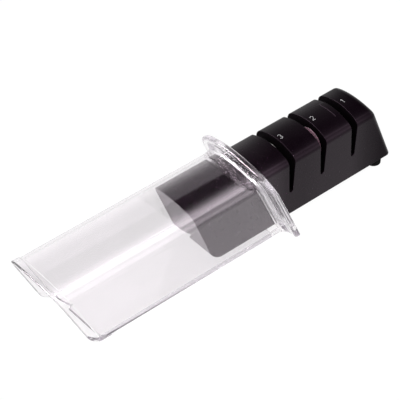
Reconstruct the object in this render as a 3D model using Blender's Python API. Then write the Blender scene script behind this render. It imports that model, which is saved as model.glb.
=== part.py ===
"""Three-stage pull-through knife sharpener with a clear telescoping case.

Metres, +Z up. X runs along the tool: the slotted head points to +X and the
clear case, which is also the handle, to -X. Y runs across it, along the blade
path. The tool lies on a table at Z = 0, on two rubber feet under the head and
on the flat floor of the case. The pose is the one in use: the case has been
slid back and holds only the handle end of the body.
"""
import math

import bpy
import bmesh
from mathutils import Vector

MM = 0.001

# ---------------------------------------------------------------- dimensions
# all in millimetres; x is counted from the middle slot
X_MID = 58.537            # the middle slot's place along the tool in the frame

# body
BODY_HALF_W = 14.1
BODY_Z0 = 3.1           # underside of the body above the table
BODY_TOP = 41.3         # crown of the arched top
BODY_ARCH_R = 27.0
BODY_CREASE_R = 4.2
BODY_HEAD_X = 49.2      # head end at the underside
BODY_HEAD_SLOPE = 0.409
BODY_TAIL_X = -70.5     # handle end, slanted line carried down to the underside
BODY_TAIL_SLOPE = 0.375
BODY_TAIL_R = 9.5       # rounded lower corner of the handle end
BODY_EDGE_R = 0.6
BODY_HEAD_EDGE_R = 3.2  # rounding of the sides and crown into the head's end
BODY_CORNER_R = 0.8     # lower long edges
BODY_WALL = 2.0

# knife slots
SLOT_PITCH = 20.65
SLOT_Z0 = 17.5
SLOT_HALF_BOTTOM = 1.18
SLOT_HALF_TOP = 2.26
GUIDE_HALF = 3.7        # block the slot runs through under the roof
GUIDE_Z0 = 26.6

# base plate and screws
PLATE_X0, PLATE_X1 = -59.6, 44.1
PLATE_GAP = 0.3
PLATE_T = 2.0
SCREW_XY = [(-54.0, 7.0), (-54.0, -7.0), (34.0, 7.0), (34.0, -7.0)]
SCREW_HEAD_R, SCREW_HEAD_H = 2.3, 1.2
SCREW_SHANK_R, SCREW_LEN = 1.2, 8.5
BOSS_R = 3.0

# rubber feet
FOOT_X, FOOT_Y = 40.3, 10.1
FOOT_R = 3.9

# sharpening stages
AXLE_Z = {1: 27.1, 2: 29.0, 3: 27.6}
WHEEL_Y = {1: 2.9, 2: -2.1, 3: 2.9}     # wheel b; its partner a is set off the other way
AXLE_R = 1.5
AXLE_IN, AXLE_OUT = 0.6, 6.3
WHEEL_R = 8.2
POCKET_R = 8.6          # room for a wheel in the guide block
POCKET_X = 4.6
WHEEL_NECK_R = 3.0      # where the two cones meet
WHEEL_BORE_R = 1.6
WHEEL_IN, WHEEL_RIM, WHEEL_OUT = 0.3, 2.05, 4.2
CARRIER_HALF_L = 6.5
CARRIER_WALL = 1.8
CARRIER_HALF_W = 8.5
CARRIER_Z0 = 5.4
CARRIER_FLOOR = 1.5
CARRIER_TOP = 33.0

# clear case
CASE_HALF_W = 18.7
CASE_TOP = 43.9
CASE_ARCH_R = 28.0
CASE_CREASE_R = 7.0
CASE_CORNER_R = 1.5
CASE_WALL = 1.5
CASE_FLOOR = 2.2
CASE_END_X = -146.3     # open back end, slanted line carried down to the table
CASE_END_SLOPE = 0.46
CASE_END_R = 13.0       # rounded lower corners of the back end
CASE_FLOOR_END_X = -142.2
CASE_END_BEAD = 0.45     # raised band round the back end
CASE_END_BEAD_L = 4.6
FLANGE_X = -24.2        # front face of the guard at the table
FLANGE_SLOPE = 0.44
FLANGE_T = 3.4
FLANGE_OUT = 7.5
FLANGE_EDGE_R = 1.2
COVE_R, COVE_H = 2.8, 4.4   # hollow rounding between the wall and the guard, length and height
COLLAR_RISE = 0.3       # raised collar behind the guard, longer over the crown than at the sides
COLLAR_TOP_L, COLLAR_SIDE_L = 10.6, 6.6
LAND_L = 3.8            # guiding land in the mouth
FIT = 0.35              # running clearance on the body
NOTCH_L = 11.8          # the floor is cut away at the mouth, to let the feet in
NOTCH_HALF_W = 15.6
NOTCH_TOP = 3.4

# ------------------------------------------------------------------- helpers


def clear_scene():
    for ob in list(bpy.data.objects):
        bpy.data.objects.remove(ob, do_unlink=True)


def material(name, colour, roughness, metallic=0.0, alpha=1.0):
    m = bpy.data.materials.new(name)
    m.use_nodes = True
    b = m.node_tree.nodes["Principled BSDF"]
    b.inputs["Base Color"].default_value = (*colour, 1.0)
    b.inputs["Roughness"].default_value = roughness
    b.inputs["Metallic"].default_value = metallic
    b.inputs["Alpha"].default_value = alpha
    m.diffuse_color = (*colour, alpha)
    return m


def add(name, verts, faces, mat, origin=(0.0, 0.0, 0.0)):
    """verts in mm, in the slot frame; origin is the node's pivot in mm"""
    o = Vector(origin)
    me = bpy.data.meshes.new(name)
    me.from_pydata([tuple((Vector(v) - o) * MM) for v in verts], [], faces)
    me.update()
    bm = bmesh.new()
    bm.from_mesh(me)
    bmesh.ops.remove_doubles(bm, verts=bm.verts, dist=1e-7)
    bmesh.ops.recalc_face_normals(bm, faces=bm.faces)
    bm.to_mesh(me)
    bm.free()
    ob = bpy.data.objects.new(name, me)
    bpy.context.scene.collection.objects.link(ob)
    ob.location = (o + Vector((X_MID, 0.0, 0.0))) * MM
    if mat is not None:
        me.materials.append(mat)
    return ob


def boolean(ob, cutter, operation):
    """apply one boolean and drop the tool body"""
    md = ob.modifiers.new("cut", 'BOOLEAN')
    md.operation = operation
    md.solver = 'EXACT'
    md.object = cutter
    bpy.context.view_layer.update()
    dg = bpy.context.evaluated_depsgraph_get()
    me = bpy.data.meshes.new_from_object(ob.evaluated_get(dg))
    ob.modifiers.clear()
    mats = list(ob.data.materials)
    ob.data = me
    me.materials.clear()
    for m in mats:
        me.materials.append(m)
    for p in me.polygons:
        p.material_index = 0
    bpy.data.objects.remove(cutter, do_unlink=True)


def tidy(ob):
    bm = bmesh.new()
    bm.from_mesh(ob.data)
    bmesh.ops.remove_doubles(bm, verts=bm.verts, dist=2e-6)
    bmesh.ops.dissolve_degenerate(bm, dist=1e-6, edges=bm.edges)
    bmesh.ops.dissolve_limit(bm, angle_limit=math.radians(0.05), verts=bm.verts,
                             edges=bm.edges, delimit={'NORMAL'})
    bmesh.ops.triangulate(bm, faces=bm.faces)
    bmesh.ops.recalc_face_normals(bm, faces=bm.faces)
    bm.to_mesh(ob.data)
    bm.free()
    ob.data.update()


def box(name, lo, hi, mat=None):
    (x0, y0, z0), (x1, y1, z1) = lo, hi
    v = [(x0, y0, z0), (x1, y0, z0), (x1, y1, z0), (x0, y1, z0),
         (x0, y0, z1), (x1, y0, z1), (x1, y1, z1), (x0, y1, z1)]
    f = [(0, 3, 2, 1), (4, 5, 6, 7), (0, 1, 5, 4), (1, 2, 6, 5), (2, 3, 7, 6), (3, 0, 4, 7)]
    return add(name, v, f, mat)


def prism_y(name, xz, y0, y1, mat=None):
    """closed outline in the X-Z plane carried along Y"""
    n = len(xz)
    v = [(x, y0, z) for x, z in xz] + [(x, y1, z) for x, z in xz]
    f = [tuple(range(n)), tuple(range(2 * n - 1, n - 1, -1))]
    f += [(i, (i + 1) % n, n + (i + 1) % n, n + i) for i in range(n)]
    return add(name, v, f, mat)


def turned(name, profile, axis, centre, segments, mat=None, origin=None, phase=0.0):
    """closed (along, radius) outline turned about an axis through centre"""
    n = len(profile)
    v, f = [], []
    for k in range(segments):
        a = 2 * math.pi * k / segments + phase
        c, s = math.cos(a), math.sin(a)
        for t, r in profile:
            if axis == 'X':
                v.append((centre[0] + t, centre[1] + r * c, centre[2] + r * s))
            else:
                v.append((centre[0] + r * c, centre[1] + r * s, centre[2] + t))
    for k in range(segments):
        k2 = (k + 1) % segments
        for i in range(n):
            j = (i + 1) % n
            if profile[i][1] < 1e-9 and profile[j][1] < 1e-9:
                continue
            f.append((k * n + i, k * n + j, k2 * n + j, k2 * n + i))
    ob_v, ob_f = [], []
    index = {}
    for i, p in enumerate(v):
        key = tuple(round(q, 6) for q in p)
        if key not in index:
            index[key] = len(ob_v)
            ob_v.append(p)
    for face in f:
        g = []
        for i in face:
            j = index[tuple(round(q, 6) for q in v[i])]
            if j not in g:
                g.append(j)
        if len(g) > 2:
            ob_f.append(tuple(g))
    return add(name, ob_v, ob_f, mat, origin or (0.0, 0.0, 0.0))


# ------------------------------------------------- arched section and lofting
CORNER_N, CREASE_N, ARCH_N = 3, 6, 7


def half_outline(w, z0, top, arch_r, crease_r, corner_r, side_z):
    """half of an arched section from the floor to the crown: (y, z, ny, nz)"""
    pts = []
    for k in range(CORNER_N + 1):
        a = math.pi / 2 * k / CORNER_N
        pts.append((w - corner_r + corner_r * math.sin(a),
                    z0 + corner_r - corner_r * math.cos(a), math.sin(a), -math.cos(a)))
    cz = top - arch_r
    cy = w - crease_r
    fz = cz + math.sqrt((arch_r - crease_r) ** 2 - cy ** 2)
    for u in side_z:
        z = z0 + corner_r + (fz - z0 - corner_r) * u
        pts.append((w, z, 1.0, 0.0))
    turn = math.atan2(cy, fz - cz)
    for k in range(CREASE_N + 1):
        a = math.pi / 2 + (turn - math.pi / 2) * k / CREASE_N
        pts.append((cy + crease_r * math.sin(a), fz + crease_r * math.cos(a),
                    math.sin(a), math.cos(a)))
    for k in range(1, ARCH_N + 1):
        a = turn * (1 - k / ARCH_N)
        pts.append((arch_r * math.sin(a), cz + arch_r * math.cos(a), math.sin(a), math.cos(a)))
    return pts


def grown(outline, d, z_min=None):
    out = []
    for i, (y, z, ny, nz) in enumerate(outline):
        y2, z2 = max(0.0, y + d * ny), z + d * nz
        if z_min is not None:
            z2 = max(z2, z_min + 0.005 * i)
        out.append((y2, z2, ny, nz))
    return out


def slanted_end(x0, z0, slope, radius):
    """x of a slanted end whose lower corner is rounded, as a function of z"""
    k = math.sqrt(1 + slope * slope)
    xc = x0 - slope * radius + radius * k
    zt = z0 + radius - radius * slope / k

    def x_of(z):
        if radius > 0 and z < zt:
            dz = min(radius, max(-radius, z - z0 - radius))
            return xc - math.sqrt(max(0.0, radius * radius - dz * dz))
        return x0 - slope * (z - z0)
    return x_of


def ring(outline, x_of):
    right = [(x_of(z), y, z) for y, z, _, _ in outline]
    left = [(x_of(z), -y, z) for y, z, _, _ in outline[:-1]]
    return right + left[::-1]


def loft(name, rings, mat, endless=False):
    """rings with matching point counts; the ends are closed by level strips, or joined"""
    m = len(rings[0])
    n = (m + 1) // 2
    v = [p for r in rings for p in r]
    f = []
    for k in range(len(rings) - 1):
        a, b = k * m, (k + 1) * m
        for i in range(m):
            j = (i + 1) % m
            f.append((a + i, a + j, b + j, b + i))
    if endless:
        a = (len(rings) - 1) * m
        f += [(a + i, a + (i + 1) % m, (i + 1) % m, i) for i in range(m)]
        return add(name, v, f, mat)
    for base in (0, (len(rings) - 1) * m):
        for i in range(n - 1):
            r0, r1 = base + i, base + i + 1
            l0 = base + (m - 1 - i)
            l1 = base + (m - 2 - i)
            if i == n - 2:
                f.append((r0, r1, l0))
            else:
                f.append((r0, r1, l1, l0))
    return add(name, v, f, mat)


def edge_steps(r, n=3):
    """(inset, set-back) pairs that round an end edge, from the face outward"""
    out = []
    for k in range(n + 1):
        a = math.pi / 2 * k / n
        out.append((r * (1 - math.sin(a)), r * (1 - math.cos(a))))
    return out


# ---------------------------------------------------------------------- build
clear_scene()

black = material("black_plastic", (0.016, 0.013, 0.016), 0.34)
black_inner = material("black_inner_plastic", (0.03, 0.03, 0.032), 0.5)
clear = material("clear_plastic", (0.86, 0.84, 0.88), 0.06, 0.0, 0.35)
rubber = material("rubber", (0.022, 0.022, 0.022), 0.85)
steel = material("steel", (0.58, 0.58, 0.6), 0.28, 1.0)
diamond = material("diamond_grit", (0.26, 0.25, 0.24), 0.6, 0.5)
ceramic = material("ceramic", (0.80, 0.62, 0.60), 0.55)
ceramic_fine = material("fine_ceramic", (0.86, 0.84, 0.79), 0.45)

SLOTS = {1: SLOT_PITCH, 2: 0.0, 3: -SLOT_PITCH}

# ---- main shell
side = [0.0, 0.06, 0.13, 0.21, 0.3, 0.55, 0.8]
body_section = half_outline(BODY_HALF_W, BODY_Z0, BODY_TOP, BODY_ARCH_R, BODY_CREASE_R,
                            BODY_CORNER_R, side[1:])
head = slanted_end(BODY_HEAD_X, BODY_Z0, BODY_HEAD_SLOPE, 0.0)
tail = slanted_end(BODY_TAIL_X, BODY_Z0, BODY_TAIL_SLOPE, BODY_TAIL_R)
rings = []
for inset, back in edge_steps(BODY_EDGE_R):
    rings.append(ring(grown(body_section, -inset), lambda z, b=back: tail(z) + b))
for inset, back in reversed(edge_steps(BODY_HEAD_EDGE_R, 4)):
    section = half_outline(BODY_HALF_W - inset, BODY_Z0, BODY_TOP - inset, BODY_ARCH_R - inset,
                           BODY_CREASE_R - inset, BODY_CORNER_R, side[1:])
    rings.append(ring(section, lambda z, b=back: head(z) - b))
shell = loft("main_shell", rings, black)

# hollow inside of the shell, and the recess for the base plate
inner_z0 = BODY_Z0 + 2.4
inner = half_outline(BODY_HALF_W - BODY_WALL, inner_z0, BODY_TOP - BODY_WALL,
                     BODY_ARCH_R - BODY_WALL, BODY_CREASE_R - BODY_WALL, 0.4, side[1:])
inner_tail = slanted_end(BODY_TAIL_X + 2.5, inner_z0, BODY_TAIL_SLOPE, BODY_TAIL_R - 2.4)
inner_head = slanted_end(BODY_HEAD_X - 2.4, BODY_Z0, BODY_HEAD_SLOPE, 0.0)
hollow = loft("hollow", [ring(inner, inner_tail), ring(inner, inner_head)], None)
boolean(shell, hollow, 'DIFFERENCE')
recess = box("recess", (PLATE_X0 - PLATE_GAP, -(BODY_HALF_W - BODY_WALL), BODY_Z0 - 3.0),
             (PLATE_X1 + PLATE_GAP, BODY_HALF_W - BODY_WALL, inner_z0 + 0.6))
boolean(shell, recess, 'DIFFERENCE')

# guide blocks under the roof, screw posts
guide_section = half_outline(BODY_HALF_W - 1.0, GUIDE_Z0, BODY_TOP - 1.0, BODY_ARCH_R - 1.0,
                             BODY_CREASE_R - 1.0, 0.3, side[1:])
for n, sx in SLOTS.items():
    guide = loft("guide", [ring(guide_section, lambda z, x=sx - GUIDE_HALF: x),
                           ring(guide_section, lambda z, x=sx + GUIDE_HALF: x)], None)
    boolean(shell, guide, 'UNION')
    for s in (-1, 1):
        pocket = turned("pocket", [(0.0, 0.0), (0.0, POCKET_R), (s * POCKET_X, POCKET_R), (s * POCKET_X, 0.0)],
                        'X', (sx, s * WHEEL_Y[n], AXLE_Z[n]), 40)
        boolean(shell, pocket, 'DIFFERENCE')
for x, y in SCREW_XY:
    top = BODY_TOP - 3.4 if x < 0 else BODY_Z0 + (BODY_HEAD_X - 1.2 - x - BOSS_R) / BODY_HEAD_SLOPE
    post = turned("post", [(BODY_Z0 + PLATE_T + 0.25, 0.0), (BODY_Z0 + PLATE_T + 0.25, BOSS_R),
                           (top, BOSS_R), (top, 0.0)], 'Z', (x, y, 0.0), 16)
    boolean(shell, post, 'UNION')
    pilot = turned("pilot", [(BODY_Z0 - 1.0, 0.0), (BODY_Z0 - 1.0, SCREW_SHANK_R + 0.2),
                             (BODY_Z0 + SCREW_LEN + 1.0, SCREW_SHANK_R + 0.2),
                             (BODY_Z0 + SCREW_LEN + 1.0, 0.0)], 'Z', (x, y, 0.0), 12)
    boolean(shell, pilot, 'DIFFERENCE')

# the three knife slots, with a rounded floor
rise = (SLOT_HALF_TOP - SLOT_HALF_BOTTOM) / (BODY_TOP - SLOT_Z0)
for n, sx in SLOTS.items():
    over = 4.0
    h0 = SLOT_HALF_BOTTOM
    h1 = SLOT_HALF_TOP + rise * over
    xz = []
    for k in range(7):
        a = math.pi + math.pi * k / 6
        xz.append((sx + h0 * math.cos(a), SLOT_Z0 + h0 + h0 * math.sin(a)))
    xz += [(sx + h1, BODY_TOP + over), (sx - h1, BODY_TOP + over)]
    boolean(shell, prism_y("slot", xz, -BODY_HALF_W - 3.0, BODY_HALF_W + 3.0), 'DIFFERENCE')
tidy(shell)

# ---- base plate
plate_half = BODY_HALF_W - BODY_WALL - PLATE_GAP
plate = box("base_plate", (PLATE_X0, -plate_half, BODY_Z0), (PLATE_X1, plate_half, BODY_Z0 + PLATE_T), black)
for x, y in SCREW_XY:
    seat = SCREW_HEAD_H + 0.25
    hole = turned("hole", [(BODY_Z0 - 1.0, 0.0), (BODY_Z0 - 1.0, SCREW_HEAD_R + 0.3),
                           (BODY_Z0 + seat, SCREW_HEAD_R + 0.3), (BODY_Z0 + seat, SCREW_SHANK_R + 0.2),
                           (BODY_Z0 + PLATE_T + 1.0, SCREW_SHANK_R + 0.2), (BODY_Z0 + PLATE_T + 1.0, 0.0)],
                  'Z', (x, y, 0.0), 20)
    boolean(plate, hole, 'DIFFERENCE')
tidy(plate)

# ---- base screws with a cross recess
for i, (x, y) in enumerate(SCREW_XY, 1):
    z0 = BODY_Z0 + 0.1
    screw = turned("base_screw_%d" % i,
                   [(z0, 0.0), (z0, SCREW_HEAD_R - 0.3), (z0 + 0.3, SCREW_HEAD_R),
                    (z0 + SCREW_HEAD_H, SCREW_HEAD_R), (z0 + SCREW_HEAD_H, SCREW_SHANK_R),
                    (z0 + SCREW_LEN - 1.2, SCREW_SHANK_R), (z0 + SCREW_LEN, 0.0)],
                   'Z', (x, y, 0.0), 16, steel)
    a, b = 1.35, 0.32
    plus = [(a, -b), (a, b), (b, b), (b, a), (-b, a), (-b, b), (-a, b), (-a, -b),
            (-b, -b), (-b, -a), (b, -a), (b, -b)]
    lo, hi = z0 - 0.5, z0 + 0.7
    v = [(x + p, y + q, lo) for p, q in plus] + [(x + p, y + q, hi) for p, q in plus]
    f = [tuple(range(12)), tuple(range(23, 11, -1))]
    f += [(k, (k + 1) % 12, 12 + (k + 1) % 12, 12 + k) for k in range(12)]
    boolean(screw, add("cross", v, f, None), 'DIFFERENCE')
    tidy(screw)

# ---- rubber feet
for i, sy in enumerate((1, -1), 1):
    foot = turned("foot_%d" % i, [(0.0, 0.0), (0.0, FOOT_R - 0.6), (0.18, FOOT_R - 0.18), (0.6, FOOT_R),
                                  (BODY_Z0 - 0.1, FOOT_R), (BODY_Z0 - 0.1, 0.0)],
                  'Z', (FOOT_X, sy * FOOT_Y, 0.0), 24, rubber)
    tidy(foot)

# ---- sharpening stages
for n, sx in SLOTS.items():
    # U-shaped carrier with two bearing walls
    x0, x1 = sx - CARRIER_HALF_L, sx + CARRIER_HALF_L
    w = CARRIER_HALF_W
    zf = CARRIER_Z0 + CARRIER_FLOOR
    u = [(x0, CARRIER_Z0), (x1, CARRIER_Z0), (x1, CARRIER_TOP), (x1 - CARRIER_WALL, CARRIER_TOP),
         (x1 - CARRIER_WALL, zf), (x0 + CARRIER_WALL, zf), (x0 + CARRIER_WALL, CARRIER_TOP), (x0, CARRIER_TOP)]
    carrier = prism_y("carrier_%d" % n, u, -w, w, black_inner)
    for sy in (1, -1):
        yz = [(sy * w * 1.2, 10.0), (sy * 6.2, CARRIER_TOP + 1.0), (sy * w * 1.2, CARRIER_TOP + 1.0)]
        v = [(x0 - 1, y, z) for y, z in yz] + [(x1 + 1, y, z) for y, z in yz]
        boolean(carrier, add("slope", v, [(0, 1, 2), (5, 4, 3), (0, 1, 4, 3), (1, 2, 5, 4), (2, 0, 3, 5)], None),
                'DIFFERENCE')
    for s in (-1, 1):
        bore = turned("bore", [(s * 3.0, 0.0), (s * 3.0, AXLE_R + 0.1), (s * (CARRIER_HALF_L + 1), AXLE_R + 0.1),
                               (s * (CARRIER_HALF_L + 1), 0.0)], 'X', (sx, s * WHEEL_Y[n], AXLE_Z[n]), 20)
        boolean(carrier, bore, 'DIFFERENCE')
    tidy(carrier)

    # two wheels side by side, each on a stub axle of its own
    grit = {1: diamond, 2: ceramic, 3: ceramic_fine}[n]
    for tag, s in (("a", -1), ("b", 1)):
        centre = (sx, s * WHEEL_Y[n], AXLE_Z[n])
        pin = [(AXLE_IN, 0.0), (AXLE_IN, AXLE_R - 0.25), (AXLE_IN + 0.25, AXLE_R),
               (AXLE_OUT - 0.25, AXLE_R), (AXLE_OUT, AXLE_R - 0.25), (AXLE_OUT, 0.0)]
        axle = turned("axle_%d%s" % (n, tag), [(s * t, r) for t, r in pin], 'X', centre, 20, steel)
        tidy(axle)
        prof = [(s * WHEEL_IN, WHEEL_BORE_R), (s * WHEEL_IN, WHEEL_NECK_R), (s * WHEEL_RIM, WHEEL_R),
                (s * (WHEEL_OUT - 0.4), WHEEL_R), (s * WHEEL_OUT, WHEEL_R - 0.4), (s * WHEEL_OUT, WHEEL_BORE_R)]
        wheel = turned("wheel_%d%s" % (n, tag), prof, 'X', centre, 32, grit, origin=centre)
        tidy(wheel)

# ---- clear case: one moulding, lofted from the open back end over the guard into the mouth
# and along the inside to the back end again
case_side = [0.06, 0.12, 0.2, 0.29, 0.4, 0.6, 0.8]
case_section = half_outline(CASE_HALF_W, 0.0, CASE_TOP, CASE_ARCH_R, CASE_CREASE_R, CASE_CORNER_R, case_side)
end = slanted_end(CASE_END_X, 0.0, CASE_END_SLOPE, CASE_END_R)


def front(z):
    return FLANGE_X - FLANGE_SLOPE * z


def back(z):
    return FLANGE_X - FLANGE_T - FLANGE_SLOPE * z


def collar(z):
    t = min(1.0, max(0.0, (z - 36.3) / 6.2))
    return COLLAR_SIDE_L + (COLLAR_TOP_L - COLLAR_SIDE_L) * t * t * (3 - 2 * t)


rings = []
for inset, setback in edge_steps(1.0, 2):
    rings.append(ring(grown(case_section, CASE_END_BEAD - inset, 0.0), lambda z, b=setback: end(z) + b))
rings.append(ring(grown(case_section, CASE_END_BEAD, 0.0), lambda z: end(z) + CASE_END_BEAD_L))
rings.append(ring(case_section, lambda z: end(z) + CASE_END_BEAD_L + CASE_END_BEAD))
rings.append(ring(case_section, lambda z: front(z) - collar(z) - 1.2))
rings.append(ring(grown(case_section, COLLAR_RISE, 0.0), lambda z: front(z) - collar(z) + 0.3))
for k in range(4):
    a = math.pi / 2 * k / 3
    grow, off = COLLAR_RISE + COVE_H * (1 - math.cos(a)), COVE_R * (1 - math.sin(a))
    rings.append(ring(grown(case_section, grow, 0.0), lambda z, o=off: back(z) - o))
for inset, setback in edge_steps(FLANGE_EDGE_R, 2):
    rings.append(ring(grown(case_section, FLANGE_OUT - inset, 0.0), lambda z, b=setback: back(z) + b))
for inset, setback in reversed(edge_steps(FLANGE_EDGE_R, 2)):
    rings.append(ring(grown(case_section, FLANGE_OUT - inset, 0.0), lambda z, b=setback: front(z) - b))
mouth = half_outline(BODY_HALF_W + FIT, BODY_Z0 - FIT, BODY_TOP + FIT, BODY_ARCH_R + FIT,
                     BODY_CREASE_R + FIT, 0.5, case_side)
rings.append(ring(grown(mouth, 0.6), front))
rings.append(ring(mouth, lambda z: front(z) - 0.6))
rings.append(ring(mouth, lambda z: front(z) - LAND_L))
cavity = half_outline(CASE_HALF_W - CASE_WALL, CASE_FLOOR, CASE_TOP - CASE_WALL, CASE_ARCH_R - CASE_WALL,
                      CASE_CREASE_R - CASE_WALL, 1.2, [0.05, 0.11, 0.18, 0.25, 0.42, 0.6, 0.8])


def inner_end(z):
    return CASE_FLOOR_END_X if z < CASE_FLOOR + 0.05 else end(z)


rings.append(ring(cavity, lambda z: front(z) - LAND_L - 0.5))
rings.append(ring(cavity, inner_end))
case = loft("clear_case", rings, clear, endless=True)
tidy(case)
notch = box("notch", (FLANGE_X - NOTCH_L, -NOTCH_HALF_W, -3.0), (FLANGE_X + 6.0, NOTCH_HALF_W, NOTCH_TOP))
boolean(case, notch, 'DIFFERENCE')
tidy(case)
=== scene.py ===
"""Looks of a three-stage pull-through knife sharpener with a clear sliding case.

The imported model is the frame. Every moulding is rebuilt here with fine
roundings in the frame's own coordinates and rides on the body it belongs to.
Lengths below are millimetres; x is counted from the middle slot.
"""
import math

import bpy
import bmesh
from mathutils import Matrix, Vector


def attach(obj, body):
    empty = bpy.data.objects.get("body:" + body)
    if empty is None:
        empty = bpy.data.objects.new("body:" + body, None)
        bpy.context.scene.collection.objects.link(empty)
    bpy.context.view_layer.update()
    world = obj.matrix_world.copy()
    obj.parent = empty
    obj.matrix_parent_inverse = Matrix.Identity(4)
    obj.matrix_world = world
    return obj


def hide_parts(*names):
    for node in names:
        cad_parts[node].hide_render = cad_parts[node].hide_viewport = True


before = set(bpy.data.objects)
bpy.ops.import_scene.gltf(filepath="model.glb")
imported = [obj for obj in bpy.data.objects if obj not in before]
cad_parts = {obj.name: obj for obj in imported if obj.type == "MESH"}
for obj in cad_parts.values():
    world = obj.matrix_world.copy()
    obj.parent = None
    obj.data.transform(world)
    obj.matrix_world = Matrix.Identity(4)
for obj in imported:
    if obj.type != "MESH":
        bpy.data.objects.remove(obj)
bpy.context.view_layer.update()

MM = 0.001
X_MID = 58.537

# body
BODY_HALF_W, BODY_Z0, BODY_TOP = 14.1, 3.1, 41.3
BODY_ARCH_R, BODY_CREASE_R, BODY_CORNER_R = 27.0, 4.2, 0.8
BODY_HEAD_X, BODY_HEAD_SLOPE = 49.2, 0.409
BODY_TAIL_X, BODY_TAIL_SLOPE, BODY_TAIL_R = -70.5, 0.375, 9.5
BODY_EDGE_R, BODY_HEAD_EDGE_R, BODY_WALL = 0.6, 3.2, 2.0

# knife slots
SLOT_PITCH, SLOT_Z0 = 20.65, 17.5
SLOT_HALF_BOTTOM, SLOT_HALF_TOP = 1.18, 2.26
GUIDE_HALF, GUIDE_Z0 = 3.7, 26.6
PAD_X, PAD_HALF, PAD_H = 15.25, 6.6, 0.13
SLOTS = {1: SLOT_PITCH, 2: 0.0, 3: -SLOT_PITCH}

# base plate, screws, feet
PLATE_X0, PLATE_X1, PLATE_GAP, PLATE_T = -59.6, 44.1, 0.3, 2.0
SCREW_XY = [(-54.0, 7.0), (-54.0, -7.0), (34.0, 7.0), (34.0, -7.0)]
SCREW_HEAD_R, SCREW_HEAD_H, SCREW_SHANK_R, SCREW_LEN, BOSS_R = 2.3, 1.2, 1.2, 8.5, 3.0
FOOT_X, FOOT_Y, FOOT_R = 40.3, 10.1, 3.9

# sharpening stages
AXLE_Z = {1: 27.1, 2: 29.0, 3: 27.6}
WHEEL_Y = {1: 2.9, 2: -2.1, 3: 2.9}
AXLE_R, AXLE_IN, AXLE_OUT = 1.5, 0.6, 6.3
WHEEL_R, WHEEL_NECK_R, WHEEL_BORE_R = 8.2, 3.0, 1.6
POCKET_R, POCKET_X = 8.6, 4.6
WHEEL_IN, WHEEL_RIM, WHEEL_OUT = 0.3, 2.05, 4.2
CARRIER_HALF_L, CARRIER_WALL, CARRIER_HALF_W = 6.5, 1.8, 8.5
CARRIER_Z0, CARRIER_FLOOR, CARRIER_TOP = 5.4, 1.5, 33.0

# clear case
CASE_HALF_W, CASE_TOP, CASE_ARCH_R, CASE_CREASE_R, CASE_CORNER_R = 18.7, 43.9, 28.0, 7.0, 1.5
CASE_WALL, CASE_FLOOR = 1.5, 2.2
CASE_END_X, CASE_END_SLOPE, CASE_END_R, CASE_FLOOR_END_X = -146.3, 0.46, 13.0, -142.2
CASE_END_BEAD, CASE_END_BEAD_L = 0.45, 4.6
FLANGE_X, FLANGE_SLOPE, FLANGE_T, FLANGE_OUT, FLANGE_EDGE_R = -24.2, 0.44, 3.4, 7.5, 1.2
COVE_R, COVE_H, COLLAR_RISE, COLLAR_TOP_L, COLLAR_SIDE_L, LAND_L, FIT = 2.8, 4.4, 0.3, 10.6, 6.6, 3.8, 0.35
NOTCH_L, NOTCH_HALF_W, NOTCH_TOP = 11.8, 15.6, 3.4


# ------------------------------------------------------------------- meshes
def add(name, verts, faces):
    """a new mesh object, vertices given in millimetres in the slot frame"""
    me = bpy.data.meshes.new(name)
    me.from_pydata([((x + X_MID) * MM, y * MM, z * MM) for x, y, z in verts], [], faces)
    bm = bmesh.new()
    bm.from_mesh(me)
    bmesh.ops.remove_doubles(bm, verts=bm.verts, dist=1e-7)
    bmesh.ops.dissolve_degenerate(bm, dist=1e-7, edges=bm.edges)
    bmesh.ops.recalc_face_normals(bm, faces=bm.faces)
    bm.to_mesh(me)
    bm.free()
    ob = bpy.data.objects.new(name, me)
    bpy.context.scene.collection.objects.link(ob)
    return ob


def boolean(ob, cutter, operation):
    md = ob.modifiers.new("cut", 'BOOLEAN')
    md.operation = operation
    md.solver = 'EXACT'
    md.object = cutter
    bpy.context.view_layer.update()
    dg = bpy.context.evaluated_depsgraph_get()
    me = bpy.data.meshes.new_from_object(ob.evaluated_get(dg))
    ob.modifiers.clear()
    ob.data = me
    bpy.data.objects.remove(cutter, do_unlink=True)


def clean(ob):
    bm = bmesh.new()
    bm.from_mesh(ob.data)
    bmesh.ops.remove_doubles(bm, verts=bm.verts, dist=1.5e-6)
    bmesh.ops.dissolve_degenerate(bm, dist=1e-6, edges=bm.edges)
    bmesh.ops.recalc_face_normals(bm, faces=bm.faces)
    bm.to_mesh(ob.data)
    bm.free()


def round_edges(ob, width, segments=3, angle=35.0, pick=None):
    """round the sharp edges of a mesh, or those of them that pick(midpoint in mm, edge) accepts"""
    bm = bmesh.new()
    bm.from_mesh(ob.data)
    chosen = []
    for e in bm.edges:
        if len(e.link_faces) != 2 or e.calc_face_angle(0.0) < math.radians(angle):
            continue
        mid = (e.verts[0].co + e.verts[1].co) / 2 / MM
        mid.x -= X_MID
        if pick is None or pick(mid, e):
            chosen.append(e)
    bmesh.ops.bevel(bm, geom=chosen, offset=width * MM, offset_type='OFFSET', segments=segments,
                    profile=0.5, affect='EDGES', clamp_overlap=True, miter_outer='ARC')
    bmesh.ops.remove_doubles(bm, verts=bm.verts, dist=1e-6)
    bmesh.ops.dissolve_degenerate(bm, dist=1e-6, edges=bm.edges)
    bmesh.ops.recalc_face_normals(bm, faces=bm.faces)
    bm.to_mesh(ob.data)
    bm.free()


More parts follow.
